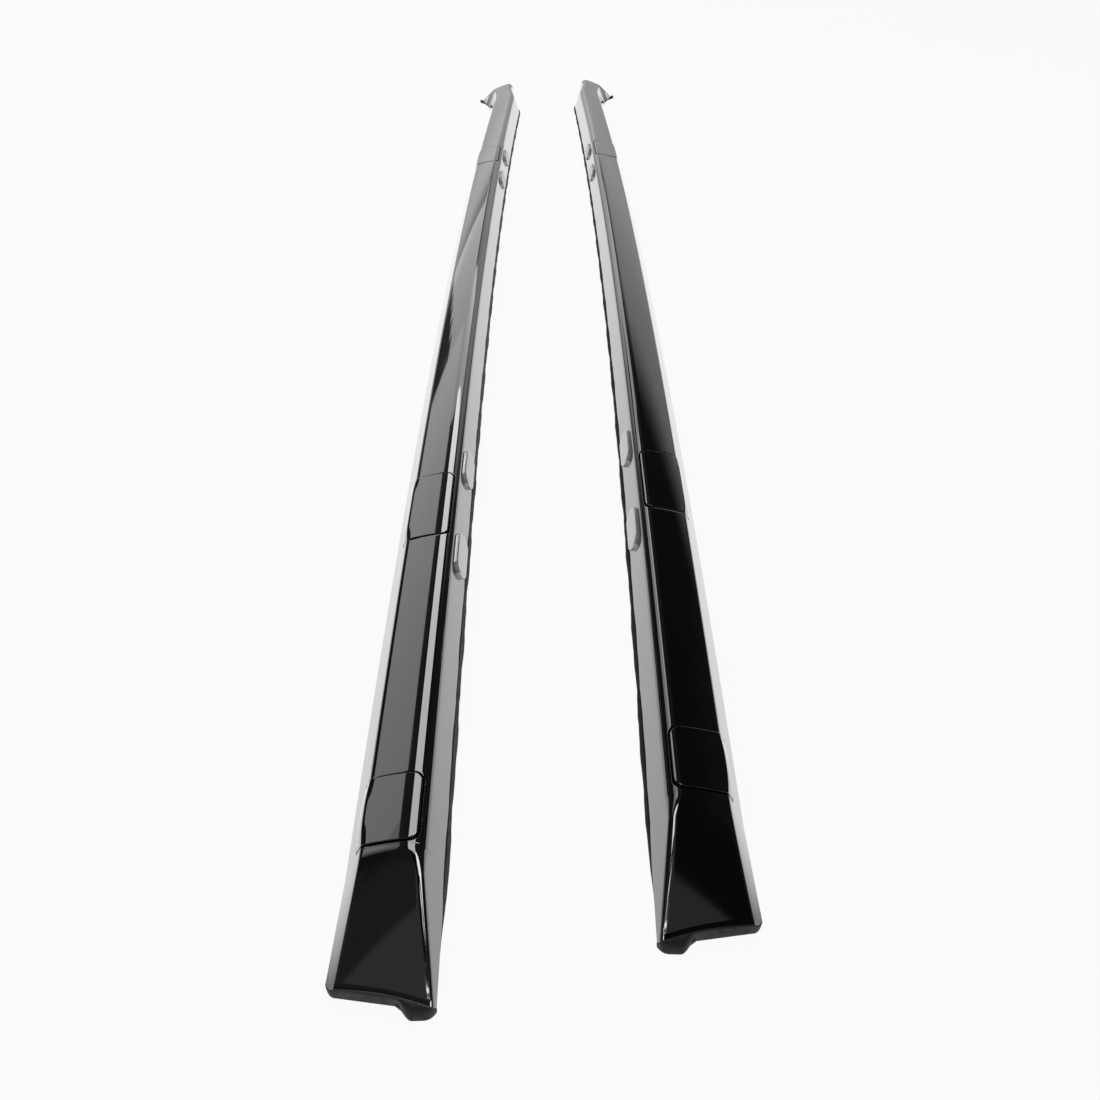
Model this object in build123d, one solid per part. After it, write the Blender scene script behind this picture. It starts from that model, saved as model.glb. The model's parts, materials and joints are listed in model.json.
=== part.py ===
"""A pair of low roof side rails: bent hollow rails with end caps, clip-on covers and crossbar pads.

Millimetres, +Z up, +Y from the front of the rails to the rear. Sections are drawn in (u, z), with u
measured outward from the inner edge of the gasket lip. The right rail is modelled and the left rail
is its mirror image.
"""
from build123d import *
from math import ceil, cos, degrees, hypot, radians, sin, tan
import os

# How the pair lies: the rails toe in toward the rear, by an angle in degrees
INNER_GAP = 108.0
RIGHT_SETBACK = 36.0
TOE_IN = 0.2

# Rail as a whole: length along the bend, rise of the arch and bow of the plan over that length
RAIL_LENGTH = 1936.0
ARCH_RISE = 14.0
PLAN_BOW = 14.0
BEND_STEP = 480.0

# Rail section
RAIL_WIDTH = 58.1
SHOULDER_HEIGHT = 36.0
OUTER_EDGE_HEIGHT = 28.5
INNER_LEAN = 18.0
OUTER_LEAN = 24.0
SHOULDER_RADIUS = 11.0
OUTER_EDGE_RADIUS = 4.0
TOP_CROWN = 1.2
WALL = 3.0

# Rubber gasket under the rail
GASKET_THICKNESS = 3.0
GASKET_INSET = 1.0
LIP_WIDTH = 1.9
LIP_ROUND = 1.2
LIP_TAPER = 3.5
TOE_REACH = 4.5
TOE_START = 0.75
TOE_HEIGHT = 6.0
TOE_LIFT = 0.4

# End caps
FRONT_CAP_LENGTH = 84.0
REAR_CAP_LENGTH = 135.0
CAP_JOINT = 0.2
CAP_WALL = 3.5
SPIGOT_LENGTH = 9.0
SPIGOT_HEIGHT = 12.0
SPIGOT_CLEARANCE = 0.3

# Front tip: a ramp that sinks and fans out to a skewed crease, then a lip with a stepped nose
RAMP_START = 6.0
RAMP_CURVE = 1.2
RAMP_BEND_SHARE = 0.2
RAMP_BEND_RADIUS = 4.4
RAMP_EDGE_SHARE = 0.6
RAMP_EDGE_RADIUS = 3.0
RAMP_TIP_RADIUS = 1.5
RAMP_SKEW = 11.5
FAN_OUTWARD = 2.2
TIP_EDGE_DRAW = 1.5
CREASE_PLACE = 4.0
TIP_HEIGHT = 4.6
TIP_ROUND = 5.0
TIP_SKEW = 5.0
NOSE_STEP = 8.0
NOSE_WIDTH = 17.8
NOSE_ROUND = 7.5
LIP_REACH = 5.0
LIP_FALL = 3.0
LIP_RADIUS = 0.5
LIP_CROWN = 0.3

# Rear tail: the inner face draws outward, the outer foot flares, and the end is skewed and bevelled
TAIL_SKEW = 14.0
TAIL_SHOULDER_HEIGHT = 36.0
TAIL_EDGE_HEIGHT = 25.0
TAIL_FOOT_DRAW = 9.0
TAIL_SHOULDER_DRAW = 3.0
TAIL_EDGE_FLARE = 6.0
TAIL_FOOT_FLARE = 21.0
TAIL_BEVEL = 4.0
TAIL_STATIONS = (1 / 3, 2 / 3, 1.0)

# Clip-on covers: where each starts behind the front tip, and its length
FRONT_COVER_SETBACK = 2.0
FRONT_COVER_LENGTH = 46.0
MID_COVER_START = 364.0
REAR_COVER_START = 1344.0
LONG_COVER_LENGTH = 84.0
COVER_INNER_EDGE = 15.5
COVER_SKIRT = 7.0
COVER_PROUD = 1.3
COVER_WALL = 2.5
COVER_GAP = 1.2
COVER_CORNER_RADIUS = 7.0

# Foot plates and the clips on their tabs
PLATE_WALL = 3.0
PLATE_WIDTH = 22.0
PLATE_END_MARGIN = 10.0
TAB_WIDTH = 14.0
TAB_HEIGHT = 14.0
CLIP_WALL = 0.8
CLIP_DROP = 7.0
CLIP_WIDTH = 10.0
CLIP_CLEARANCE = 0.1
LEG_WALL = 2.0
LEG_OVERLAP = 6.0
BOLT_HOLE = 6.6
ROOF_HOLE = 12.0

# Crossbar pads: centres of the two pairs behind the front tip
MID_PADS_CENTRE = 417.0
REAR_PADS_CENTRE = 1362.0
PAD_SPACING = 121.0
PAD_LENGTH = 48.0
PAD_HEIGHT = 19.0
PAD_PROUD = 3.0
PAD_CENTRE_HEIGHT = 17.5
PAD_EDGE = 1.0
PAD_BEDDING = 0.05
INSERT_BARREL = 9.0
INSERT_LENGTH = 11.0
INSERT_FLANGE = 13.0
INSERT_FLANGE_WALL = 1.0
INSERT_BORE = 5.0
STUB_LENGTH = 7.0
FIT_CLEARANCE = 0.2

# End cap screws
SCREW_SHANK = 4.0
SCREW_HEAD = 8.0
SCREW_HEAD_HEIGHT = 2.2
SCREW_DEPTH = 9.0
SCREW_FIT = 0.05

# The bend: one arc in a plane that leans outward, so that the rail arches and bows at once
SAG = hypot(ARCH_RISE, PLAN_BOW)
BEND_RADIUS = RAIL_LENGTH ** 2 / (8 * SAG)
SECTION_X = INNER_GAP / 2 + PLAN_BOW
SECTION = Plane(origin=(SECTION_X, 0, ARCH_RISE), x_dir=(1, 0, 0), z_dir=(0, -1, 0))
BEND_AXIS = Axis(
    (SECTION_X - BEND_RADIUS * PLAN_BOW / SAG, 0, ARCH_RISE - BEND_RADIUS * ARCH_RISE / SAG),
    (-ARCH_RISE / SAG, 0, PLAN_BOW / SAG),
)

# Section places that follow from the sizes above
BASE = GASKET_THICKNESS
INNER = LIP_WIDTH
OUTER = LIP_WIDTH + RAIL_WIDTH
TIP = BASE + TIP_HEIGHT
INNER_SLOPE = tan(radians(INNER_LEAN))
OUTER_SLOPE = tan(radians(OUTER_LEAN))
FLOOR = BASE + WALL
SKIRT_END = OUTER_EDGE_HEIGHT - COVER_SKIRT
HIGH = 3 * SHOULDER_HEIGHT
FAR = 2 * RAIL_WIDTH

# Places along the rail and across it that follow from the sizes above
COVERS = {
    "front": (FRONT_CAP_LENGTH + FRONT_COVER_SETBACK, FRONT_COVER_LENGTH),
    "mid": (MID_COVER_START, LONG_COVER_LENGTH),
    "rear": (REAR_COVER_START, LONG_COVER_LENGTH),
}
PAD_PLACES = {
    "mid_front": MID_PADS_CENTRE - PAD_SPACING / 2,
    "mid_rear": MID_PADS_CENTRE + PAD_SPACING / 2,
    "rear_front": REAR_PADS_CENTRE - PAD_SPACING / 2,
    "rear_rear": REAR_PADS_CENTRE + PAD_SPACING / 2,
}
TAB_TOP = FLOOR + TAB_HEIGHT
PLATE_CENTRE = (COVER_INNER_EDGE + OUTER - (OUTER_EDGE_HEIGHT - BASE) * OUTER_SLOPE) / 2
SCREW_CENTRE = PLATE_CENTRE
SKEW_AXIS = Axis((SECTION_X + INNER, 0, ARCH_RISE), (0, 0, 1))
TAIL_START = RAIL_LENGTH - REAR_CAP_LENGTH
TAIL_CREASE = RAIL_LENGTH - TAIL_BEVEL
SCREW_PLACES = (FRONT_CAP_LENGTH + SPIGOT_LENGTH / 2, TAIL_START - SPIGOT_LENGTH / 2)
PAD_CENTRE = INNER + (PAD_CENTRE_HEIGHT - BASE) * INNER_SLOPE
PAD_PLANE = Plane(
    origin=SECTION.from_local_coords((PAD_CENTRE, PAD_CENTRE_HEIGHT, 0)),
    x_dir=(0, 1, 0),
    z_dir=(-cos(radians(INNER_LEAN)), 0, sin(radians(INNER_LEAN))),
)


def bend_angle(place):
    """The turn about the bend axis, in degrees, from mid-length to a place behind the front tip."""
    return degrees((place - RAIL_LENGTH / 2) / BEND_RADIUS)


def at_place(shape, place):
    """Carries a shape drawn at mid-length along the bend."""
    return shape.rotate(BEND_AXIS, bend_angle(place))


def bent(face, start, end):
    """Runs a section along the bend, through as many stations as the arc needs to stay true."""
    spans = ceil((end - start) / BEND_STEP)
    places = [start + (end - start) * span / spans for span in range(spans + 1)]
    return loft([at_place(SECTION * face, place) for place in places])


def outline(shoulder=SHOULDER_HEIGHT, edge=OUTER_EDGE_HEIGHT, radius=SHOULDER_RADIUS,
            edge_radius=OUTER_EDGE_RADIUS, crown=TOP_CROWN, inner=(0.0, 0.0), outer=(0.0, 0.0)):
    """The rail's outside: leaning faces, crowned top, wide inner shoulder and tight outer edge.

    Inner holds how far outward the inner foot and the shoulder lie from their usual place, and outer
    the same for the outer edge and the outer foot.
    """
    foot = (INNER + inner[0], BASE)
    inner_corner = (INNER + (shoulder - BASE) * INNER_SLOPE + inner[1], shoulder)
    outer_corner = (OUTER - (edge - BASE) * OUTER_SLOPE + outer[0], edge)
    toe = (OUTER + outer[1], BASE)
    top = SagittaArc(inner_corner, outer_corner, crown)
    sides = Line(foot, inner_corner) + top + Line(outer_corner, toe) + Line(toe, foot)
    face = make_face(sides.edges())
    vertices = face.vertices()
    face = fillet([v for v in vertices if (Vector(v) - Vector(*inner_corner)).length < 0.01], radius)
    vertices = face.vertices()
    return fillet([v for v in vertices if (Vector(v) - Vector(*outer_corner)).length < 0.01], edge_radius)


def block(u_start, u_end, z_start, z_end):
    """A rectangle of the section plane."""
    return Pos((u_start + u_end) / 2, (z_start + z_end) / 2) * Rectangle(u_end - u_start, z_end - z_start)


def spot(u, z, place):
    """The point of the bent rail that lies at (u, z) of the section at a place."""
    point = SECTION.from_local_coords((u, z, 0))
    return at_place(Vertex(point.X, point.Y, point.Z), place).center()


def upright_drill(u, place, diameter):
    """A vertical drill through the rail's floor and what lies on and under it."""
    return Pos(*spot(u, BASE, place)) * Cylinder(diameter / 2, 2 * (FLOOR + PLATE_WALL))


def screw_drill(place, diameter):
    """A drill square to the rail's floor, for an end cap screw."""
    drill = Cylinder(diameter / 2, 2 * (FLOOR + SCREW_DEPTH))
    return at_place(Pos(SECTION_X + SCREW_CENTRE, 0, ARCH_RISE) * drill, place)


def plan_prism(face, place, z_start, z_end):
    """Raises a plan outline, drawn in (u, distance behind the place), into a prism at that place."""
    prism = extrude(Pos(SECTION_X, 0, ARCH_RISE + z_start) * face, z_end - z_start, dir=(0, 0, 1))
    return at_place(prism, place)


def cover_prism(start, length, gap):
    """The room of one cover: square outside, round corners at the shoulder."""
    near = COVER_INNER_EDGE - gap
    half = length / 2 + gap
    face = Pos((near + FAR) / 2, 0) * Rectangle(FAR - near, 2 * half)
    corners = face.vertices().group_by(Axis.X)[0]
    face = fillet(corners, COVER_CORNER_RADIUS + gap)
    return plan_prism(face, start + length / 2, SKIRT_END - gap, HIGH)


def front_tip_plan():
    """The front cap seen from above: skewed front edge, stepped nose on the inner side."""
    far = OUTER + FAN_OUTWARD / 2
    nose_end = INNER + NOSE_WIDTH
    step_foot = (nose_end - TIP_ROUND, 0)
    step_head = (nose_end + TIP_ROUND, NOSE_STEP)
    middle = (nose_end, NOSE_STEP / 2)
    nose_corner = (INNER + NOSE_ROUND, 0)
    flank = (INNER - TIP_ROUND / 2, 2 * TIP_ROUND)
    edge_end = (far - TIP_ROUND, NOSE_STEP + TIP_SKEW)
    outer_flank = (far + TIP_ROUND / 2, NOSE_STEP + TIP_SKEW + 2 * TIP_ROUND)
    curves = Bezier(flank, (INNER, TIP_ROUND / 2), (INNER + NOSE_ROUND / 3, 0), nose_corner)
    curves += Line(nose_corner, step_foot)
    curves += Bezier(step_foot, (nose_end, 0), middle)
    curves += Bezier(middle, (nose_end, NOSE_STEP), step_head)
    curves += Line(step_head, edge_end)
    curves += Bezier(edge_end, (far, NOSE_STEP + TIP_SKEW), outer_flank)
    curves += Polyline(outer_flank, (FAR, FRONT_CAP_LENGTH), (FAR, RAIL_LENGTH), (-FAR, RAIL_LENGTH),
                       (-FAR, FRONT_CAP_LENGTH), flank)
    return make_face(curves.edges())


def skewed(face, place, skew):
    """A section at a place, turned about the upright line through its inner foot."""
    return at_place((SECTION * face).rotate(SKEW_AXIS, skew), place)


def tail_station(face, share, end):
    """A section of the tail, turned more and more from the joint to the skewed end."""
    return skewed(face, TAIL_START + (end - TAIL_START) * share, -TAIL_SKEW * share)


def tail_draw(share):
    """How far the tail's inner face has drawn outward, as a share."""
    return share ** 2 * (3 - 2 * share)


def tail_outline(share, bevel=0.0):
    """Section of the tail at a share of its length, drawn in by a bevel all round but for its base."""
    draw = tail_draw(share)
    flare = share ** 2
    return outline(
        SHOULDER_HEIGHT + (TAIL_SHOULDER_HEIGHT - SHOULDER_HEIGHT) * flare - bevel,
        OUTER_EDGE_HEIGHT + (TAIL_EDGE_HEIGHT - OUTER_EDGE_HEIGHT) * flare - bevel,
        inner=(TAIL_FOOT_DRAW * draw + bevel, TAIL_SHOULDER_DRAW * draw + bevel),
        outer=(TAIL_EDGE_FLARE * flare - bevel, TAIL_FOOT_FLARE * flare - bevel),
    )


def rail_profile():
    """The bent hollow rail with its cover windows and its drilled holes."""
    start = FRONT_CAP_LENGTH + CAP_JOINT / 2
    end = TAIL_START - CAP_JOINT / 2
    rail = bent(outline(), start, end) - bent(offset(outline(), -WALL), start - WALL, end + WALL)
    for start, length in COVERS.values():
        rail -= cover_prism(start, length, COVER_GAP)
        rail -= upright_drill(PLATE_CENTRE, start + length / 2, BOLT_HOLE)
    for place in PAD_PLACES.values():
        hole = Cylinder(INSERT_BARREL / 2 + FIT_CLEARANCE, 4 * WALL)
        rail -= at_place(PAD_PLANE * hole, place)
    for place in SCREW_PLACES:
        rail -= screw_drill(place, SCREW_SHANK + 2 * FIT_CLEARANCE)
    return rail


def spigot(start, end):
    """The tongue of an end cap that enters the hollow rail and stands on its floor."""
    room = offset(outline(), -WALL - SPIGOT_CLEARANCE)
    low = FLOOR + SPIGOT_CLEARANCE
    return bent(room & block(0, FAR, low, low + SPIGOT_HEIGHT), start, end)


def cap_pocket(tall_place, low_place, tall_top, low_top, low_draw=0.0):
    """The moulded hollow under an end cap, tall at the rail and low at the tip."""
    faces = []
    for place, top, draw in ((tall_place, tall_top, 0.0), (low_place, low_top, low_draw)):
        height = top - BASE
        inner = INNER + draw + 2 * CAP_WALL
        outer = OUTER - 2 * CAP_WALL
        lean_in = height * INNER_SLOPE
        lean_out = height * OUTER_SLOPE
        corners = [(inner, BASE - CAP_WALL), (outer, BASE - CAP_WALL), (outer, BASE),
                   (outer - lean_out, top), (inner + lean_in, top), (inner, BASE)]
        faces.append(at_place(SECTION * make_face(Polyline(*corners, close=True).edges()), place))
    return loft(faces, ruled=True)


def front_end_cap():
    """The sloped nose: the section sinks and fans out from the first cover to the stepped tip."""
    joint = FRONT_CAP_LENGTH - CAP_JOINT / 2
    bend = FRONT_CAP_LENGTH - RAMP_START
    cap = bent(outline(), bend, joint)
    steps = []
    for share, radius in ((0.0, SHOULDER_RADIUS), (RAMP_BEND_SHARE, RAMP_BEND_RADIUS),
                          (RAMP_EDGE_SHARE, RAMP_EDGE_RADIUS), (1.0, RAMP_TIP_RADIUS)):
        sink = share ** RAMP_CURVE
        face = outline(
            SHOULDER_HEIGHT + (TIP - SHOULDER_HEIGHT) * sink,
            OUTER_EDGE_HEIGHT + (TIP - OUTER_EDGE_HEIGHT) * sink,
            radius,
            min(OUTER_EDGE_RADIUS, radius),
            TOP_CROWN * (1 - sink / 2),
            outer=(-TIP_EDGE_DRAW * share, FAN_OUTWARD * share),
        )
        steps.append(skewed(face, bend + (CREASE_PLACE - bend) * share, RAMP_SKEW * share))
    cap += loft(steps)
    lip_top = TIP - LIP_FALL
    lip = outline(lip_top, lip_top, LIP_RADIUS, LIP_RADIUS, LIP_CROWN, outer=(-TIP_EDGE_DRAW, FAN_OUTWARD))
    cap += loft([steps[-1], skewed(lip, CREASE_PLACE - LIP_REACH, RAMP_SKEW)], ruled=True)
    cap &= plan_prism(front_tip_plan(), 0, BASE, HIGH)
    cap -= cap_pocket(bend, bend / 2, OUTER_EDGE_HEIGHT - CAP_WALL, TIP + CAP_WALL)
    cap += spigot(joint - CAP_WALL, FRONT_CAP_LENGTH + SPIGOT_LENGTH)
    return cap - screw_drill(SCREW_PLACES[0], SCREW_SHANK + 2 * SCREW_FIT)


def rear_end_cap():
    """The tail: it draws away from the inner side, flares at the outer foot and ends skewed."""
    joint = CAP_JOINT / 2 / REAR_CAP_LENGTH
    steps = [tail_station(tail_outline(share), share, TAIL_CREASE) for share in (joint, *TAIL_STATIONS)]
    cap = loft(steps)
    end = skewed(tail_outline(1.0, TAIL_BEVEL), RAIL_LENGTH, -TAIL_SKEW)
    cap += loft([steps[-1], end], ruled=True)
    low_share = TAIL_STATIONS[1]
    low_place = TAIL_START + REAR_CAP_LENGTH * low_share
    draw = TAIL_FOOT_DRAW * tail_draw(low_share)
    cap -= cap_pocket(TAIL_START + 2 * CAP_WALL, low_place, OUTER_EDGE_HEIGHT - CAP_WALL,
                      TAIL_EDGE_HEIGHT - CAP_WALL, draw)
    cap += spigot(TAIL_START - SPIGOT_LENGTH, TAIL_START + 2 * CAP_WALL)
    return cap - screw_drill(SCREW_PLACES[1], SCREW_SHANK + 2 * SCREW_FIT)


def end_cap_screws():
    """One screw up through the rail's floor into each end cap's tongue."""
    screws = []
    for place in SCREW_PLACES:
        shank = Pos(0, 0, SCREW_DEPTH / 2) * Cylinder(SCREW_SHANK / 2, SCREW_DEPTH)
        head = Pos(0, 0, -SCREW_HEAD_HEIGHT / 2) * Cylinder(SCREW_HEAD / 2, SCREW_HEAD_HEIGHT)
        seat = Pos(SECTION_X + SCREW_CENTRE, 0, ARCH_RISE + BASE - SCREW_FIT)
        screws.append(at_place(seat * (shank + head), place))
    return Compound(screws)


def cover(start, length):
    """A clip-on cover: the skin of the rail's top with a proud skirt and two legs for the clips."""
    skin = outline(edge_radius=OUTER_EDGE_RADIUS / 2, outer=(COVER_PROUD, COVER_PROUD))
    shell = bent(skin, start - WALL, start + length + WALL) & cover_prism(start, length, 0)
    shell -= bent(offset(outline(), -COVER_WALL), start - 2 * WALL, start + length + 2 * WALL)
    room = bent(offset(outline(), -COVER_WALL / 2), start, start + length)
    for place, inward in tab_places(start, length):
        near = PLATE_WALL / 2 + CLIP_CLEARANCE + CLIP_WALL + CLIP_CLEARANCE
        middle = inward * (near + LEG_WALL / 2)
        low = TAB_TOP - LEG_OVERLAP
        leg = Pos(SECTION_X + PLATE_CENTRE, middle, ARCH_RISE + (low + HIGH) / 2)
        leg = leg * Box(TAB_WIDTH, LEG_WALL, HIGH - low)
        shell += at_place(leg, place) & room
    return shell


def tab_places(start, length):
    """Where a foot plate's two tabs stand, each with the direction toward the plate's middle."""
    inset = PLATE_END_MARGIN + PLATE_WALL / 2
    return ((start + inset, 1), (start + length - inset, -1))


def foot_plate(start, length):
    """A folded steel plate on the rail's floor: bolt hole in the middle, a tab turned up at each end."""
    reach = length - 2 * PLATE_END_MARGIN
    plate = Pos(0, 0, PLATE_WALL / 2) * Box(PLATE_WIDTH, reach, PLATE_WALL)
    for side in (-1, 1):
        middle = side * (reach - PLATE_WALL) / 2
        plate += Pos(0, middle, TAB_HEIGHT / 2) * Box(TAB_WIDTH, PLATE_WALL, TAB_HEIGHT)
    plate = at_place(Pos(SECTION_X + PLATE_CENTRE, 0, ARCH_RISE + FLOOR) * plate, start + length / 2)
    return plate - upright_drill(PLATE_CENTRE, start + length / 2, BOLT_HOLE)


def cover_clips():
    """Spring clips that straddle the tabs of the foot plates and grip the legs of the covers."""
    clips = []
    slot = PLATE_WALL + 2 * CLIP_CLEARANCE
    for start, length in COVERS.values():
        for place, inward in tab_places(start, length):
            clip = Pos(0, 0, -CLIP_DROP / 2 + CLIP_WALL) * Box(CLIP_WIDTH, slot + 2 * CLIP_WALL, CLIP_DROP)
            clip -= Pos(0, 0, -CLIP_DROP / 2) * Box(CLIP_WIDTH, slot, CLIP_DROP)
            seat = TAB_TOP + CLIP_CLEARANCE
            clips.append(at_place(Pos(SECTION_X + PLATE_CENTRE, 0, ARCH_RISE + seat) * clip, place))
    return Compound(clips)


def crossbar_pad(place):
    """A raised oblong pad on the inner face, held by a stub in its threaded insert."""
    pad = extrude(SlotOverall(PAD_LENGTH, PAD_HEIGHT), PAD_PROUD)
    pad = chamfer(pad.faces().sort_by(Axis.Z)[-1].edges(), PAD_EDGE)
    flange_room = INSERT_FLANGE_WALL + FIT_CLEARANCE
    pad -= Pos(0, 0, flange_room / 2) * Cylinder(INSERT_FLANGE / 2 + FIT_CLEARANCE, flange_room)
    stub = Cylinder(INSERT_BORE / 2 - SCREW_FIT, STUB_LENGTH + flange_room)
    pad += Pos(0, 0, (flange_room - STUB_LENGTH) / 2) * stub
    return at_place(PAD_PLANE * Pos(0, 0, PAD_BEDDING) * pad, place)


def pad_inserts():
    """Threaded inserts in the inner wall, one behind each pad."""
    insert = Pos(0, 0, INSERT_FLANGE_WALL / 2) * Cylinder(INSERT_FLANGE / 2, INSERT_FLANGE_WALL)
    insert += Pos(0, 0, -INSERT_LENGTH / 2) * Cylinder(INSERT_BARREL / 2, INSERT_LENGTH)
    insert -= Cylinder(INSERT_BORE / 2, 3 * INSERT_LENGTH)
    insert = PAD_PLANE * Pos(0, 0, PAD_BEDDING) * insert
    return Compound([at_place(insert, place) for place in PAD_PLACES.values()])


def strip(inner_edge=0.0, flare=0.0):
    """Section of the gasket: flat, with a round top corner on the inner side."""
    face = block(inner_edge, OUTER + flare - GASKET_INSET, 0, GASKET_THICKNESS)
    return fillet(face.vertices().group_by(Axis.X)[0].sort_by(Axis.Y)[-1], LIP_ROUND)


def gasket_toe():
    """The small upturned edge of the gasket along the flared foot of the tail."""
    faces = []
    for share, reach in ((TOE_START, TOE_LIFT), (1.0, TOE_REACH)):
        foot = OUTER + TAIL_FOOT_FLARE * share ** 2
        step = foot + FIT_CLEARANCE
        end = foot + FIT_CLEARANCE + reach
        sheet_top = GASKET_THICKNESS - TOE_LIFT
        corners = [(foot - TIP_ROUND, TOE_LIFT), (end, TOE_LIFT), (end, TOE_HEIGHT), (step, TOE_HEIGHT),
                   (step, sheet_top), (foot - TIP_ROUND, sheet_top)]
        face = make_face(Polyline(*corners, close=True).edges())
        faces.append(tail_station(face, share, TAIL_CREASE))
    return loft(faces, ruled=True)


def base_gasket():
    """The rubber strip under the rail and caps: round inner edge, upturned toe at the outer rear corner."""
    tip = at_place(SECTION * strip(LIP_TAPER, FAN_OUTWARD / 2), 0)
    gasket = loft([tip, at_place(SECTION * strip(), FRONT_CAP_LENGTH)], ruled=True)
    gasket &= plan_prism(Pos(0, GASKET_INSET) * front_tip_plan(), 0, -HIGH, HIGH)
    gasket += bent(strip(), FRONT_CAP_LENGTH, TAIL_START)
    steps = []
    for share in (0.0, *TAIL_STATIONS):
        inner_edge = (TAIL_FOOT_DRAW + LIP_TAPER) * tail_draw(share)
        face = strip(inner_edge, TAIL_FOOT_FLARE * share ** 2)
        steps.append(tail_station(face, share, TAIL_CREASE - GASKET_INSET))
    gasket += loft(steps)
    gasket += gasket_toe()
    for start, length in COVERS.values():
        gasket -= upright_drill(PLATE_CENTRE, start + length / 2, ROOF_HOLE)
    for place in SCREW_PLACES:
        gasket -= screw_drill(place, SCREW_HEAD + 2 * FIT_CLEARANCE)
    return gasket


def rail_pieces():
    """Every piece of one rail, by name."""
    pieces = {
        "rail_profile": rail_profile(),
        "front_end_cap": front_end_cap(),
        "rear_end_cap": rear_end_cap(),
        "end_cap_screws": end_cap_screws(),
        "base_gasket": base_gasket(),
        "cover_clips": cover_clips(),
        "pad_inserts": pad_inserts(),
    }
    for name, (start, length) in COVERS.items():
        pieces[name + "_cover"] = cover(start, length)
        pieces[name + "_foot_plate"] = foot_plate(start, length)
    for name, place in PAD_PLACES.items():
        pieces[name + "_crossbar_pad"] = crossbar_pad(place)
    return pieces


def main():
    """Lays the two rails side by side, centres the pair on the floor and writes each piece."""
    pair = {}
    for name, piece in rail_pieces().items():
        turned = piece.rotate(Axis.Z, TOE_IN)
        pair["right_" + name] = Pos(0, RIGHT_SETBACK / 2, 0) * turned
        pair["left_" + name] = Pos(0, -RIGHT_SETBACK / 2, 0) * mirror(turned, Plane.YZ)
    box = Compound(list(pair.values())).bounding_box()
    centre = Pos(0, -box.center().Y, -box.min.Z)
    os.makedirs("parts", exist_ok=True)
    for name, piece in pair.items():
        export_step(centre * piece, "parts/" + name + ".step")


main()
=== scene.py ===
"""Dresses the roof side rail pair: gloss black skins, rubber gaskets, satin pads, studio and camera."""
import json
from math import hypot, pi, radians, tan

import bpy
import numpy as np
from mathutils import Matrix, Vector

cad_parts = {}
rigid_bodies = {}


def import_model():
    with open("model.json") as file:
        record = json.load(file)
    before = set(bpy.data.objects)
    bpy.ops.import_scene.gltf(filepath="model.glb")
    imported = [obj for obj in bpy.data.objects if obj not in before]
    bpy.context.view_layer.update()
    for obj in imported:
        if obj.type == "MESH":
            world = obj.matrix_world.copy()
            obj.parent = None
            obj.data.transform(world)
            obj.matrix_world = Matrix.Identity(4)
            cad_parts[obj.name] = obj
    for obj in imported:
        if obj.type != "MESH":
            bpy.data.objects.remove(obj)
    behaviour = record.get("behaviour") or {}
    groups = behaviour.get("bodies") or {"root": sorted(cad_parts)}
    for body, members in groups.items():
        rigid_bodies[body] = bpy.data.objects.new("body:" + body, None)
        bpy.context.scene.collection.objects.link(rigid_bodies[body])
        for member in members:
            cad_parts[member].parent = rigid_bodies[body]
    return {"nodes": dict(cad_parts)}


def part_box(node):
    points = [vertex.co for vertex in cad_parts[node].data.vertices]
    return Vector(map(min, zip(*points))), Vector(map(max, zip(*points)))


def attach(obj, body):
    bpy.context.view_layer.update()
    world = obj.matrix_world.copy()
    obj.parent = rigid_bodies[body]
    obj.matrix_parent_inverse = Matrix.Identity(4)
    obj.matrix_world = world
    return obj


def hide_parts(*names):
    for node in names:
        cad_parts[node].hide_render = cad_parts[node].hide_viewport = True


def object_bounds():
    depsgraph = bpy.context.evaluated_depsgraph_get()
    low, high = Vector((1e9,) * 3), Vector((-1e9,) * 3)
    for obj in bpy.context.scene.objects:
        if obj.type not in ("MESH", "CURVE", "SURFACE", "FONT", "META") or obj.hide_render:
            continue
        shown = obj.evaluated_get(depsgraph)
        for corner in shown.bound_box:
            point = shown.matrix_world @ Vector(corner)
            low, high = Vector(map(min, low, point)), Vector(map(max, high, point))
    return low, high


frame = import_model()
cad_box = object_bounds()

# Sizes of the rail are in millimetres, as in the solids. Points become metres in place().
MM = 0.001
INNER_GAP = 108.0
RIGHT_SETBACK = 36.0
TOE_IN = radians(0.2)
RAIL_LENGTH = 1936.0
ARCH_RISE = 14.0
PLAN_BOW = 14.0

# Section
RAIL_WIDTH = 58.1
SHOULDER_HEIGHT = 36.0
OUTER_EDGE_HEIGHT = 28.5
INNER_LEAN = radians(18.0)
OUTER_LEAN = radians(24.0)
SHOULDER_RADIUS = 11.0
OUTER_EDGE_RADIUS = 4.0
TOP_CROWN = 1.2
RAIL_WALL = 3.0

# Gasket. Each wave of the lip has a size, a length and a phase
GASKET_THICKNESS = 3.0
GASKET_INSET = 1.0
LIP_WIDTH = 1.9
LIP_ROUND = 1.2
LIP_TAPER = 3.5
LIP_WAVES = ((0.32, 97.0, 0.4), (0.22, 41.0, 2.1), (0.12, 17.0, 4.0))
TOE_REACH = 4.5
TOE_START = 0.86
TOE_HEIGHT = 6.0
TOE_LIFT = 0.4
TOE_EDGE = 0.5

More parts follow.
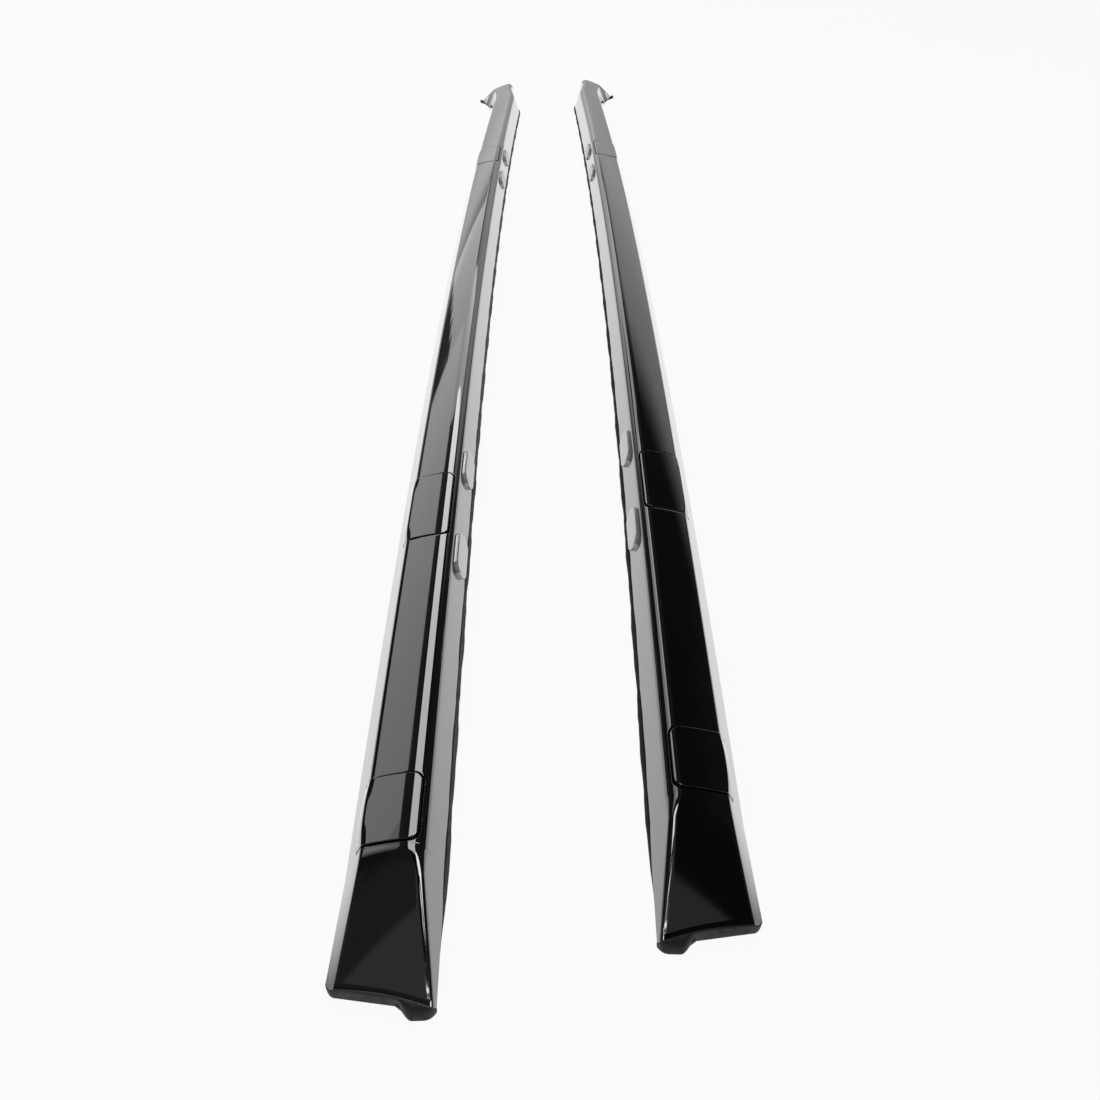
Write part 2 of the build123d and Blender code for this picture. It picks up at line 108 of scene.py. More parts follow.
# End caps. The ramp's radii go by the share of its length, and its crease is a curve seen from above
FRONT_CAP_LENGTH = 84.0
REAR_CAP_LENGTH = 135.0
CAP_JOINT = 0.2
HAIRLINE = 0.03
RAMP_START = 2.0
RAMP_CURVE = 1.1
RAMP_BEND = 0.09
RAMP_INNER_RADII = ((0.0, 11.0), (0.2, 5.5), (0.5, 6.0), (0.8, 5.0), (1.0, 3.0))
RAMP_OUTER_RADII = ((0.0, 4.0), (0.6, 3.0), (1.0, 1.5))
RAMP_CREASE = ((-4.0, 0.6), (20.0, 8.8), (32.0, 12.6), (66.0, 14.6))
FAN_OUTWARD = 2.2
TIP_EDGE_DRAW = 1.5
TIP_HEIGHT = 4.6
TIP_ROUND = 5.0
TIP_SKEW = 5.0
NOSE_STEP = 8.0
NOSE_WIDTH = 17.8
NOSE_ROUND = 7.5
BEAD_BACK = 0.7
BEAD_RISE = 0.3
VALLEY_START = 0.955
VALLEY_RISE = 0.7
BEAD_DEPTH = 0.8
BEAD_FOOT = 0.3
TAIL_SKEW = radians(14.0)
TAIL_SHOULDER_HEIGHT = 36.0
TAIL_EDGE_HEIGHT = 25.0
TAIL_FOOT_DRAW = 15.0
TAIL_SHOULDER_DRAW = 9.5
TAIL_EDGE_FLARE = 12.0
TAIL_FOOT_FLARE = 27.0
TAIL_BEVEL = 4.0

# Covers: start and length behind the front tip
COVERS = {"front": (86.0, 46.0), "mid": (364.0, 84.0), "rear": (1344.0, 84.0)}
COVER_INNER_EDGE = 15.5
COVER_SKIRT = 7.0
COVER_PROUD = 1.3
COVER_WALL = 2.5
COVER_GAP = 1.2
COVER_GAP_OUTSIDE = 0.7
COVER_SETTLED = 0.7
COVER_CORNER_RADIUS = 7.0
COVER_EDGE = 0.45
COVER_TAPER = 20.0
WINDOW_EDGE = 0.06

# Pads, in pairs: the middle of each pair behind the front tip
PAD_CENTRES = {"mid": 417.0, "rear": 1362.0}
PAD_SPACING = 121.0
PAD_LENGTH = 48.0
PAD_HEIGHT = 19.0
PAD_PROUD = 3.0
PAD_CENTRE_HEIGHT = 17.5
PAD_EDGE = 1.0
PAD_DOME = 0.25
PAD_SUNK = 0.2

# How finely the skins are divided: points on a section's five stretches, then steps, lines and rows
SECTION_COUNTS = (8, 22, 26, 12, 8)
TIP_COUNTS = (8, 22, 90, 12, 8)
RAMP_SHARES = (*np.linspace(0, 0.2, 21), *np.linspace(0.2, 0.92, 25)[1:], *np.linspace(0.92, 1, 15)[1:])
END_STEP = 0.4
STATION_STEP = 16.0
WINDOW_ZONE = 15.0
WINDOW_STEPS = 12
LEAST_STEP = 0.12
CORNER_LINES = 9
FLOOR_LINES = 8
CURVE_POINTS = 24
COVER_ROWS = 41
CAP_ROWS = 6
BEAD_RISE_ROWS = 7
BEAD_ROLL_ROWS = 13
TAIL_ROWS = 33
BEVEL_ROWS = 9
LIP_POINTS = 7
SHEET_POINTS = 9
GASKET_NOSE_ROWS = 13
GASKET_ROWS = 221
GASKET_TAIL_ROWS = 21
TOE_ROWS = 13
PAD_POINTS = 96
PAD_EDGE_RINGS = 7
PAD_DOME_RINGS = 8
WELD_DISTANCE = 1e-4
SHARP_ANGLE = radians(35.0)

# Places that follow from the sizes
SAG = hypot(ARCH_RISE, PLAN_BOW)
BEND_RADIUS = RAIL_LENGTH ** 2 / (8 * SAG)
SECTION_X = INNER_GAP / 2 + PLAN_BOW
BASE = GASKET_THICKNESS
INNER = LIP_WIDTH
OUTER = LIP_WIDTH + RAIL_WIDTH
TIP = BASE + TIP_HEIGHT
RAIL_START = FRONT_CAP_LENGTH + CAP_JOINT / 2
TAIL_START = RAIL_LENGTH - REAR_CAP_LENGTH
TAIL_CREASE = RAIL_LENGTH - TAIL_BEVEL
RAIL_END = TAIL_START - CAP_JOINT / 2
SKIRT_END = OUTER_EDGE_HEIGHT - COVER_SKIRT
OUTER_FACE = slice(-SECTION_COUNTS[4], None)
SIDES = {"left": -1, "right": 1}

# Camera: fitted to the photograph's edges and vanishing point
PHOTO_SIZE = 1100
FOCAL_PIXELS = 950.0
SENSOR_WIDTH = 36.0
CAMERA_HEIGHT = 0.5004
CAMERA_PITCH = radians(38.29)
CAMERA_YAW = radians(0.17)
CAMERA_X = -0.0007
CAMERA_BEFORE_NOSE = 0.2371
CAMERA_REACH = 100.0

# Brightness of the sky against the height of the direction, ahead of the camera and behind it
SKY_LEFT = ((0.0, 0.5), (0.12, 0.6), (0.22, 0.85), (0.29, 0.06), (1.0, 0.05))
SKY_RIGHT = ((0.0, 0.4), (0.12, 0.45), (0.22, 0.55), (0.36, 0.48), (0.48, 0.015), (1.0, 0.012))
SKY_LEFT_BEHIND = ((0.0, 0.24), (0.8335, 0.24), (0.8365, 0.09), (1.0, 0.12))
SKY_RIGHT_BEHIND = ((0.0, 0.18), (0.8335, 0.18), (0.8365, 0.012), (1.0, 0.012))
SKY_DARK = 0.03

# How the parts of the sky run into each other, and how the sky behind bends down to the sides
SIDE_BLEND = (-0.1, 0.1)
SIDE_FADE = (0.42, 0.6)
AHEAD_BLEND = (-0.1, 0.15)
BEHIND_SPREAD = 0.42
BEHIND_SCALE = 0.8

# Floor
FLOOR_REACH = 12.0
FLOOR_GREY = 0.9
FLOOR_ROUGHNESS = 0.9
FLOOR_GLOW = 0.94

# Height of all lamps but the fill, in metres
LAMP_HEIGHT = 1.55

# Softboxes on the left, in metres: they brighten in steps near the camera and widen in steps far off
SOFTBOX_ACROSS = (-1.8, -0.91)
SOFTBOX_NEAR = -0.16
SOFTBOX_STEP = 0.09
SOFTBOX_DAWN = (0.25, 0.45, 0.65, 0.85)
SOFTBOX_LEVEL = 1.2
SOFTBOX_FAR = 3.25
SOFTBOX_END = 5.5
MID_SOFTBOX_ACROSS = (-0.91, -0.42)
MID_SOFTBOX_LEVEL = 1.0
FAR_STEPS = 6
FAR_OUTER = (-1.36, -1.9)
FAR_INNER = -0.35
FAR_LEVEL = 0.95

# Lamps kept to some pieces: extent across and along in metres, brightness, and how the pieces' names start
KEPT_LAMP_DIFFUSE = 0.2
LEFT_BAND_ACROSS = (-0.42, 0.75)
LEFT_BAND_FAR = 2.2
BAND_FADE_FAR = 3.6
BAND_FADE_LEVEL = 1.3
DOT_TURN = radians(13.0)
DOT_LEVEL = 12.0
KEPT_LAMPS = {
    "left_tail_glow": ((-16.0, -1.9), (1.5, 9.0), 0.9, "left_rear_cap"),
    "right_tail_glow": ((1.9, 16.0), (1.5, 9.0), 0.9, "right_rear_cap"),
    "left_rail_band": (LEFT_BAND_ACROSS, (-0.2, LEFT_BAND_FAR), 4.0, "left_"),
    "right_rail_band": ((-1.35, -0.65), (0.2, 3.0), 2.5, "right_"),
    "left_edge_strip": ((0.75, 2.2), (-0.88, 0.1), 8.0, "left_"),
    "left_edge_dash": ((0.8, 1.3), (-1.1, -1.0), 6.0, "left_"),
    "left_tip_dot": ((-0.48, 0.85), (-1.4592, -1.4472), DOT_LEVEL, "left_front_cap"),
    "right_edge_strip": ((-0.75, -0.2), (-1.05, -0.4), 7.0, "right_"),
    "right_edge_dash": ((-0.65, -0.25), (-1.23, -1.15), 5.0, "right_"),
    "right_tip_dot": ((-0.85, 0.48), (-1.3253, -1.3133), DOT_LEVEL, "right_front_cap"),
}
LAMP_TURNS = {"left_tip_dot": DOT_TURN, "right_tip_dot": -DOT_TURN}

# Fill lamp, left out of reflections
FILL_SPAN = (-1.5, 1.5)
FILL_HEIGHT = 2.5
FILL_LEVEL = 0.8

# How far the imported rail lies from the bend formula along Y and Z, measured before the pieces are built
shift = np.zeros(2)


def place(u, z, s, side):
    """Points in metres for section points (u, z) at a distance s behind the front tip, on one side."""
    turn = (np.asarray(s) - RAIL_LENGTH / 2) / BEND_RADIUS
    out = BEND_RADIUS + (u * PLAN_BOW + z * ARCH_RISE) / SAG
    up = (z * PLAN_BOW - u * ARCH_RISE) / SAG
    radial = out * np.cos(turn) - BEND_RADIUS
    across = SECTION_X + (radial * PLAN_BOW - up * ARCH_RISE) / SAG
    along = out * np.sin(turn)
    x = across * np.cos(TOE_IN) - along * np.sin(TOE_IN)
    y = across * np.sin(TOE_IN) + along * np.cos(TOE_IN) + side * RIGHT_SETBACK / 2
    height = ARCH_RISE + (radial * ARCH_RISE + up * PLAN_BOW) / SAG
    return np.stack([side * x * MM, y * MM + shift[0], height * MM + shift[1]], axis=-1)


def arc(centre, start, end, count):
    """Points on the arc that turns clockwise from start to end."""
    first = np.arctan2(*(start - centre)[::-1])
    last = np.arctan2(*(end - centre)[::-1])
    if last > first:
        last -= 2 * pi
    angles = np.linspace(first, last, count)
    radius = np.linalg.norm(start - centre)
    return centre + radius * np.stack([np.cos(angles), np.sin(angles)], axis=-1)


def fillet_centre(foot, direction, inside, top_centre, top_radius, radius):
    """Centre of the round between a leaning face and the crowned top."""
    start = foot + inside * radius - top_centre
    along = start @ direction
    reach = np.sqrt((top_radius - radius) ** 2 - start @ start + along ** 2)
    return top_centre + start + direction * (reach - along)


def section(shoulder=SHOULDER_HEIGHT, edge=OUTER_EDGE_HEIGHT, radius=SHOULDER_RADIUS,
            edge_radius=OUTER_EDGE_RADIUS, crown=TOP_CROWN, inner=(0.0, 0.0), outer=(0.0, 0.0),
            counts=SECTION_COUNTS):
    """The rail's outside from the inner foot, over the shoulder, top and outer edge, to the outer foot.

    Inner holds how far outward the inner foot and the shoulder lie from their usual place, and outer
    the same for the outer edge and the outer foot. Counts are the points on each of the five stretches.
    """
    foot = np.array([INNER + inner[0], BASE])
    toe = np.array([OUTER + outer[1], BASE])
    inner_corner = np.array([INNER + (shoulder - BASE) * tan(INNER_LEAN) + inner[1], shoulder])
    outer_corner = np.array([OUTER - (edge - BASE) * tan(OUTER_LEAN) + outer[0], edge])
    chord = outer_corner - inner_corner
    width = np.linalg.norm(chord)
    top_radius = width ** 2 / (8 * crown) + crown / 2
    rise = np.array([-chord[1], chord[0]]) / width
    top_centre = (inner_corner + outer_corner) / 2 + rise * (crown - top_radius)
    up = (inner_corner - foot) / np.linalg.norm(inner_corner - foot)
    inside = np.array([up[1], -up[0]])
    inner_centre = fillet_centre(foot, up, inside, top_centre, top_radius, radius)
    inner_low = inner_centre - inside * radius
    down = (outer_corner - toe) / np.linalg.norm(outer_corner - toe)
    outside = np.array([-down[1], down[0]])
    edge_centre = fillet_centre(toe, down, outside, top_centre, top_radius, edge_radius)
    edge_low = edge_centre - outside * edge_radius
    top_ends = []
    for centre in (inner_centre, edge_centre):
        ray = centre - top_centre
        top_ends.append(top_centre + ray * top_radius / np.linalg.norm(ray))
    pieces = [
        np.linspace(foot, inner_low, counts[0]),
        arc(inner_centre, inner_low, top_ends[0], counts[1])[1:],
        arc(top_centre, top_ends[0], top_ends[1], counts[2])[1:],
        arc(edge_centre, top_ends[1], edge_low, counts[3])[1:],
        np.linspace(edge_low, toe, counts[4])[1:],
    ]
    return np.concatenate(pieces)


def lengths_of(points):
    """Distance along a section from its first point to each of its points."""
    steps = np.linalg.norm(np.diff(points, axis=0), axis=1)
    return np.concatenate([[0.0], np.cumsum(steps)])


def outer_face_line(skin, lengths, height):
    """Distance along a section at which its outer face has come down to a height."""
    return np.interp(-height, -skin[OUTER_FACE, 1], lengths[OUTER_FACE])


def lines_between(lengths, low, high):
    """A section's own lengthwise lines between two given ones, with those two."""
    inside = lengths[(lengths > low + LEAST_STEP) & (lengths < high - LEAST_STEP)]
    return np.concatenate([[low], inside, [high]])


def corner_lines(low):
    """Lines that divide a round window corner evenly, starting from its edge."""
    return low + COVER_CORNER_RADIUS * (1 - np.cos(np.linspace(0, pi / 2, CORNER_LINES)))


def corner_share(distance):
    """How far a window's end is drawn in by its round corner, as a share, at a distance from its edge."""
    rest = np.clip(1 - distance / COVER_CORNER_RADIUS, 0, 1)
    return 1 - np.sqrt(1 - rest ** 2)


def grid_faces(rows, columns, keep=None):
    """Quads of a grid of points, with the cells that keep leaves out missing."""
    index = np.arange(rows * columns).reshape(rows, columns)
    quads = np.stack([index[:-1, :-1], index[1:, :-1], index[1:, 1:], index[:-1, 1:]], axis=-1)
    if keep is not None:
        return quads[keep]
    return quads.reshape(-1, 4)


def weld(points, faces):
    """Joins points that coincide and drops points and faces that vanish with them."""
    keys = np.round(points / (MM * WELD_DISTANCE)).astype(np.int64)
    _, first, names = np.unique(keys, axis=0, return_index=True, return_inverse=True)
    order = np.argsort(first)
    rank = np.empty_like(order)
    rank[order] = np.arange(len(order))
    names = rank[names.reshape(-1)]
    points = points[first[order]]
    whole = []
    for face in names[faces]:
        ring = [int(corner) for corner, after in zip(face, np.roll(face, -1)) if corner != after]
        if len(set(ring)) > 2 and len(set(ring)) == len(ring):
            whole.append(ring)
    used = sorted({corner for ring in whole for corner in ring})
    fresh = {old: new for new, old in enumerate(used)}
    return points[used], [[fresh[corner] for corner in ring] for ring in whole]


def point_normals(points, faces):
    """Mean normal of the faces round each point."""
    normals = np.zeros_like(points)
    for ring in faces:
        corners = points[ring]
        normal = np.cross(corners[2] - corners[0], corners[-1] - corners[1])
        normals[ring] += normal
    return normals / np.linalg.norm(normals, axis=1, keepdims=True)


def open_edges(faces):
    """Edges with a face on one side only, in the direction of that face."""
    edges = {}
    for ring in faces:
        for start, end in zip(ring, ring[1:] + ring[:1]):
            edges[(start, end)] = True
    return [edge for edge in edges if (edge[1], edge[0]) not in edges]


def thicken(points, faces, wall, edge_round):
    """Gives a sheet a wall on its inside and a round rim along its open edges."""
    normals = point_normals(points, faces)
    rim = open_edges(faces)
    away = np.zeros_like(points)
    for start, end in rim:
        along = points[end] - points[start]
        along /= np.linalg.norm(along)
        for corner in (start, end):
            away[corner] += np.cross(along, normals[corner])
    sizes = np.linalg.norm(away, axis=1)
    on_rim = np.flatnonzero(sizes > 0)
    away[on_rim] /= sizes[on_rim, None]
    count = len(points)
    inner = points - normals * wall * MM + away * edge_round * MM
    blocks = [points, inner]
    rings = [{int(corner): int(corner) for corner in on_rim}]
    for angle in (pi / 6, pi / 3, pi / 2):
        bulge = away * np.sin(angle) - normals * (1 - np.cos(angle))
        base = sum(len(block) for block in blocks)
        blocks.append(points[on_rim] + bulge[on_rim] * edge_round * MM)
        rings.append({int(corner): base + place_in for place_in, corner in enumerate(on_rim)})
    rings.append({int(corner): int(corner) + count for corner in on_rim})
    closed = list(faces)
    closed += [[corner + count for corner in reversed(ring)] for ring in faces]
    for upper, lower in zip(rings, rings[1:]):
        for start, end in rim:
            closed.append([upper[end], upper[start], lower[start], lower[end]])
    return np.concatenate(blocks), closed


def shells_between(top, base):
    """A closed form from a grid of top points and the grid of points under them."""
    rows, columns = top.shape[:2]
    count = rows * columns
    points = np.concatenate([top.reshape(-1, 3), base.reshape(-1, 3)])
    upper = grid_faces(rows, columns)
    faces = [upper, upper[:, ::-1] + count]
    index = np.arange(count).reshape(rows, columns)
    for row, turned in ((index[0], False), (index[-1], True)):
        strip = np.stack([row[:-1], row[1:], row[1:] + count, row[:-1] + count], axis=-1)
        faces.append(strip[:, ::-1] if turned else strip)
    return weld(points, np.concatenate(faces))


def oriented(sheet, flipped):
    """A sheet with its faces turned round where asked."""
    points, faces = sheet
    return points, [ring[::-1] for ring in faces] if flipped else faces


def add_piece(name, form, flipped, material, node):
    """Makes a mesh that stands for a node and rides on the rail pair's one body."""
    points, faces = oriented(form, flipped)
    mesh = bpy.data.meshes.new(name)
    mesh.from_pydata([tuple(point) for point in points], [], [tuple(ring) for ring in faces])
    mesh.validate()
    mesh.shade_smooth()
    mesh.set_sharp_from_angle(angle=SHARP_ANGLE)
    mesh.materials.append(material)
    piece = bpy.data.objects.new(name, mesh)
    bpy.context.scene.collection.objects.link(piece)
    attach(piece, "root")
    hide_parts(node)


def rail_stations():
    """Stations along the rail: place, draw-in at round window corners, and whether a window follows."""
    places, draws, window_follows = [], [], []

    def add(values, shifts, flag):
        places.extend(values)
        draws.extend(shifts)
        window_follows.extend([flag] * len(values))

    add([RAIL_START], [0.0], False)
    begin = RAIL_START + END_STEP
    share = np.linspace(0, 1, WINDOW_STEPS + 1)[:-1]
    for start, length in COVERS.values():
        near, far = start - COVER_GAP, start + length + COVER_GAP
        zone = min(WINDOW_ZONE, near - begin)
        plain = np.arange(begin, near - zone, STATION_STEP)
        add(plain, np.zeros(len(plain)), False)
        add(near - zone * (1 - share), COVER_CORNER_RADIUS * share ** 2, False)
        add(near + (far - near) * share, COVER_CORNER_RADIUS * (1 - 2 * share), True)
        add(far + WINDOW_ZONE * share, -COVER_CORNER_RADIUS * (1 - share) ** 2, False)
        begin = far + WINDOW_ZONE
    plain = np.linspace(begin, RAIL_END - END_STEP, int((RAIL_END - begin) / STATION_STEP) + 2)
    add(np.append(plain, RAIL_END), np.zeros(len(plain) + 1), False)
    return np.array(places), np.array(draws), np.array(window_follows)


def rail_skin(side):
    """The hollow rail: one closed grid round the section, open at the cover windows."""
    skin = section()
    lengths = lengths_of(skin)
    gap_line = np.interp(COVER_INNER_EDGE - COVER_GAP, skin[:, 0], lengths)
    low_line = outer_face_line(skin, lengths, SKIRT_END - COVER_GAP)
    corner = corner_lines(gap_line)
    lines = np.concatenate([
        lines_between(lengths, 0.0, gap_line)[:-1],
        corner[:-1],
        lines_between(lengths, corner[-1], low_line)[:-1],
        lines_between(lengths, low_line, lengths[-1]),
    ])
    u = np.interp(lines, lengths, skin[:, 0])
    z = np.interp(lines, lengths, skin[:, 1])
    share = np.where(lines < gap_line, lines / gap_line, corner_share(np.maximum(lines - gap_line, 0)))
    # The gap round the covers narrows over the outer edge
    closing = (COVER_GAP - COVER_GAP_OUTSIDE) / COVER_CORNER_RADIUS
    face_line = lengths[OUTER_FACE][0]
    share += closing * np.clip((lines - face_line) / OUTER_EDGE_RADIUS + 2, 0, 1)
    floor = np.linspace(OUTER, INNER, FLOOR_LINES)[1:]
    u = np.concatenate([u, floor])
    z = np.concatenate([z, np.full(len(floor), BASE)])
    share = np.concatenate([share, np.zeros(len(floor))])
    stations, draws, window_follows = rail_stations()
    s = stations[:, None] + draws[:, None] * share[None, :]
    points = place(u[None, :], z[None, :], s, side)
    in_window = (lines[:-1] > gap_line - LEAST_STEP / 2) & (lines[:-1] < low_line - LEAST_STEP / 2)
    in_window = np.concatenate([in_window, np.zeros(len(floor), bool)])
    keep = ~(window_follows[:-1, None] & in_window[None, :])
    return weld(points.reshape(-1, 3), grid_faces(*s.shape, keep))


def cover_skin(side, start, length):
    """A clip-on cover's outside: the rail's own top, a little proud, with round inner corners."""
    skin = section(edge_radius=OUTER_EDGE_RADIUS / 2, outer=(COVER_PROUD, COVER_PROUD))
    lengths = lengths_of(skin)
    edge_line = np.interp(COVER_INNER_EDGE, skin[:, 0], lengths) + COVER_EDGE
    low_line = outer_face_line(skin, lengths, SKIRT_END) - COVER_EDGE
    corner = corner_lines(edge_line)
    lines = np.concatenate([corner[:-1], lines_between(lengths, corner[-1], low_line)])
    u = np.interp(lines, lengths, skin[:, 0])
    z = np.interp(lines, lengths, skin[:, 1])
    draw = COVER_CORNER_RADIUS * corner_share(lines - edge_line)
    share = (1 - np.cos(np.linspace(0, pi, COVER_ROWS))) / 2
    half = length / 2 - COVER_EDGE
    s = start + COVER_SETTLED + length / 2 + (2 * share[:, None] - 1) * (half - draw[None, :])
    # The ends run flush into the rail's outer face
    flush = np.clip(1 - half * (1 - abs(2 * share - 1)) / COVER_TAPER, 0, 1) ** 2
    outward = np.clip((u - skin[OUTER_FACE][0, 0]) / OUTER_EDGE_RADIUS + 1, 0, 1)
    u = u[None, :] - COVER_PROUD * flush[:, None] * outward[None, :]
    points = place(u, z[None, :], s, side)
    return weld(points.reshape(-1, 3), grid_faces(*s.shape))


def bezier(*controls):
    """Points on a quadratic or cubic curve."""
    t = np.linspace(0, 1, CURVE_POINTS)[:, None]
    points = [np.asarray(control, float) + 0 * t for control in controls]
    while len(points) > 1:
        points = [a + (b - a) * t for a, b in zip(points, points[1:])]
    return points[0]


def front_edge(u):
    """Where the front cap ends, seen from above: skewed edge, stepped nose on the inner side."""
    far = OUTER + FAN_OUTWARD / 2
    nose_end = INNER + NOSE_WIDTH
    edge_line = NOSE_STEP + TIP_SKEW
    step_foot, step_head = (nose_end - TIP_ROUND, 0), (nose_end + TIP_ROUND, NOSE_STEP)
    inner_flank = (INNER - TIP_ROUND / 2, 2 * TIP_ROUND)
    outer_flank = (far + TIP_ROUND / 2, edge_line + 2 * TIP_ROUND)
    route = np.concatenate([
        [(-RAIL_WIDTH, FRONT_CAP_LENGTH)],
        bezier(inner_flank, (INNER, TIP_ROUND / 2), (INNER + NOSE_ROUND / 3, 0), (INNER + NOSE_ROUND, 0)),
        bezier(step_foot, (nose_end - TIP_ROUND / 4, 0), (nose_end + TIP_ROUND / 4, NOSE_STEP), step_head),
        bezier((far - TIP_ROUND, edge_line), (far, edge_line), outer_flank),
    ])
    return np.interp(u, route[:, 0], route[:, 1])


def crease(u):
    """Where the front ramp meets its lip, seen from above: a soft curve behind the stepped edge."""
    route = bezier(*RAMP_CREASE)
    return np.maximum(np.interp(u, route[:, 0], route[:, 1]), front_edge(u) + BEAD_BACK)


def skewed(points, at, skew):
    """A section at a place, turned about the upright line through its inner foot: u, z and place."""
    reach = points[:, 0] - INNER
    return INNER + reach * np.cos(skew), points[:, 1], at + reach * np.sin(skew)


def tail_draw(share):
    """How far the tail's inner face has drawn outward, as a share."""
    return share ** 2 * (3 - 2 * share)


def tail_section(share, bevel=0.0):
    """Section of the tail at a share of its length, drawn in by a bevel all round but for its base."""
    draw = tail_draw(share)
    flare = share ** 2
    return section(
        SHOULDER_HEIGHT + (TAIL_SHOULDER_HEIGHT - SHOULDER_HEIGHT) * flare - bevel,
        OUTER_EDGE_HEIGHT + (TAIL_EDGE_HEIGHT - OUTER_EDGE_HEIGHT) * flare - bevel,
        inner=(TAIL_FOOT_DRAW * draw + bevel, TAIL_SHOULDER_DRAW * draw + bevel),
        outer=(TAIL_EDGE_FLARE * flare - bevel, TAIL_FOOT_FLARE * flare - bevel),
    )


def cap_form(side, rows):
    """A closed end cap from rows of u, z and place, standing on the gasket."""
    u, z, s = (np.array(values) for values in zip(*rows))
    return shells_between(place(u, z, s, side), place(u, np.full_like(z, BASE), s, side))


def ramp_row(share):
    """One row of the front ramp, from the bend before the first cover to the crease: u, z and place."""
    bend = FRONT_CAP_LENGTH - RAMP_START
    sink = ((hypot(share, RAMP_BEND) - RAMP_BEND) / (hypot(1, RAMP_BEND) - RAMP_BEND)) ** RAMP_CURVE
    points = section(
        SHOULDER_HEIGHT + (TIP - SHOULDER_HEIGHT) * sink,
        OUTER_EDGE_HEIGHT + (TIP - OUTER_EDGE_HEIGHT) * sink,
        np.interp(share, *zip(*RAMP_INNER_RADII)),
        np.interp(share, *zip(*RAMP_OUTER_RADII)),
        TOP_CROWN * (1 - sink / 2),
        outer=(-TIP_EDGE_DRAW * share, FAN_OUTWARD * share),
        counts=TIP_COUNTS,
    )
    u, z = points.T
    valley = VALLEY_RISE * max(0.0, (share - VALLEY_START) / (1 - VALLEY_START)) ** 2
    z = z + valley * (z - BASE) / (z.max() - BASE)
    return u, z, bend + (crease(u) - bend) * share


def front_cap(side):
    """The sloped nose: the section sinks and fans out from the rail's end to the rubber lip."""
    rows = []
    for at in np.linspace(RAIL_START - HAIRLINE, FRONT_CAP_LENGTH - RAMP_START, CAP_ROWS)[:-1]:
        rows.append(skewed(section(counts=TIP_COUNTS), at, 0.0))
    rows += [ramp_row(share) for share in RAMP_SHARES]
    return cap_form(side, rows)


def front_lip(side):
    """The rubber bead round the front tip: it rises at the crease and rolls over to the stepped edge."""
    u, z, s = ramp_row(1.0)
    end = front_edge(u)
    crest = np.maximum(s - BEAD_BACK, end + LEAST_STEP)
    height = (z - BASE) / TIP_HEIGHT
    rows = []
    for angle in np.linspace(0, pi / 2, BEAD_RISE_ROWS)[:-1]:
        rise = BEAD_RISE * height * np.sin(angle) - BEAD_DEPTH * height * (1 - np.sin(angle))
        rows.append((u, z + rise, crest + (s + BEAD_BACK - crest) * np.cos(angle)))
    top = z + BEAD_RISE * height
    for angle in np.linspace(0, pi / 2, BEAD_ROLL_ROWS):
        rolled = BEAD_FOOT + (top - BEAD_FOOT) * np.cos(angle)
        rows.append((u, rolled, crest + np.sin(angle) * (end - crest)))
    u, z, s = (np.array(values) for values in zip(*rows))
    return shells_between(place(u, z, s, side), place(u, np.full_like(z, BEAD_FOOT), s, side))


def rear_cap(side):
    """The tail: it draws away from the inner side, flares at the outer foot and ends skewed and round."""
    rows = []
    for share in np.linspace((RAIL_END + HAIRLINE - TAIL_START) / REAR_CAP_LENGTH, 1, TAIL_ROWS):
        at = TAIL_START + (TAIL_CREASE - TAIL_START) * share
        rows.append(skewed(tail_section(share), at, -TAIL_SKEW * share))
    for angle in np.linspace(0, pi / 2, BEVEL_ROWS)[1:]:
        bevel = TAIL_BEVEL * (1 - np.cos(angle))
        rows.append(skewed(tail_section(1.0, bevel), TAIL_CREASE + TAIL_BEVEL * np.sin(angle), -TAIL_SKEW))
    return cap_form(side, rows)


def strip_section(inner_edge, flare):
    """Top of the gasket's section, from the inner edge over a round corner to the outer edge."""
    corner = np.array([LIP_ROUND, GASKET_THICKNESS - LIP_ROUND])
    lip = arc(corner, corner - (LIP_ROUND, 0), corner + (0, LIP_ROUND), LIP_POINTS)
    outer_edge = OUTER + flare - GASKET_INSET
    sheet_ends = (inner_edge + LIP_WIDTH, GASKET_THICKNESS), (outer_edge, GASKET_THICKNESS)
    sheet = np.linspace(*sheet_ends, SHEET_POINTS)
    return np.concatenate([[(inner_edge, 0)], lip + (inner_edge, 0), sheet, [(outer_edge, 0)]])


def gasket_form(side):
    """The rubber strip: slightly wavy round inner edge, thin sheet under the rail, flared tail."""
    rows = []
    for share in np.linspace(0, 1, GASKET_NOSE_ROWS):
        points = strip_section(LIP_TAPER * (1 - share), FAN_OUTWARD / 2 * (1 - share))
        start = front_edge(points[:, 0]) + GASKET_INSET
        rows.append((*points.T, start + (FRONT_CAP_LENGTH - start) * share))
    for at in np.linspace(FRONT_CAP_LENGTH, TAIL_START, GASKET_ROWS)[1:-1]:
        rows.append(skewed(strip_section(0.0, 0.0), at, 0.0))
    for share in np.linspace(0, 1, GASKET_TAIL_ROWS):
        inner_edge = (TAIL_FOOT_DRAW + LIP_TAPER) * tail_draw(share)
        points = strip_section(inner_edge, TAIL_FOOT_FLARE * share ** 2)
        at = TAIL_START + (TAIL_CREASE - GASKET_INSET - TAIL_START) * share
        rows.append(skewed(points, at, -TAIL_SKEW * share))
    u, z, s = (np.array(values) for values in zip(*rows))
    wave = sum(size * np.sin(2 * pi * s / length + phase + side) for size, length, phase in LIP_WAVES)
    lean = np.clip(1 - (u - u[:, :1]) / LIP_WIDTH, 0, 1)
    middle = np.clip(np.minimum(s, RAIL_LENGTH - s) / REAR_CAP_LENGTH, 0, 1)
    u = u + wave * lean * middle
    return shells_between(place(u, z, s, side), place(u, np.zeros_like(s), s, side))


